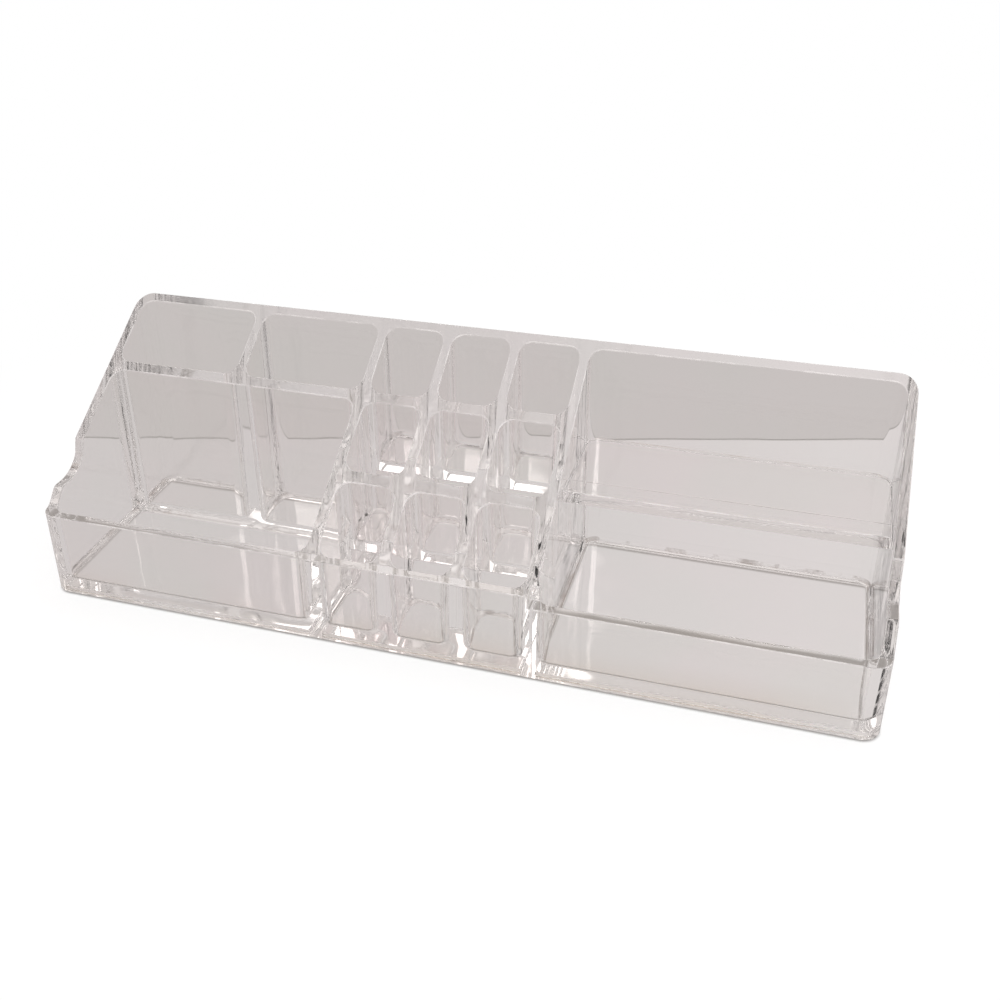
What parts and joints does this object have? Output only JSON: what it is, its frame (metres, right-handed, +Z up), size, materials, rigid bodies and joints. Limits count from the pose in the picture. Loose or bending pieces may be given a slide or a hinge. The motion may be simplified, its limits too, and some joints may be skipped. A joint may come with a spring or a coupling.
{
  "type": "vanity organizer",
  "caption": "Clear moulded vanity tray with a pocketed left bay, a stepped block of lipstick cells and an open right bay with a rear shelf.",
  "frame": {"origin": "centre of the footprint on the surface that it stands on", "axes": "+X along the length to the right seen from the front, +Y towards the high back wall, +Z up"},
  "size_m": [0.28, 0.082, 0.082],
  "materials": {
    "clear_plastic": "gloss"
  },
  "bodies": {
    "root": {"back_wall": "clear_plastic", "left_end_wall": "clear_plastic", "right_end_wall": "clear_plastic", "front_wall": "clear_plastic", "right_bay_front_wall": "clear_plastic", "left_bay_floor": "clear_plastic", "left_bay_cross_wall": "clear_plastic", "left_bay_divider": "clear_plastic", "lipstick_left_wall": "clear_plastic", "lipstick_right_wall": "clear_plastic", "lipstick_divider_1": "clear_plastic", "lipstick_divider_2": "clear_plastic", "lipstick_rear_partition_1": "clear_plastic", "lipstick_rear_partition_2": "clear_plastic", "lipstick_rear_partition_3": "clear_plastic", "lipstick_front_partition_1": "clear_plastic", "lipstick_front_partition_2": "clear_plastic", "lipstick_front_partition_3": "clear_plastic", "lipstick_front_floor": "clear_plastic", "lipstick_middle_floor": "clear_plastic", "lipstick_rear_floor": "clear_plastic", "right_bay_floor": "clear_plastic", "right_bay_shelf": "clear_plastic"}
  },
  "joints": []
}
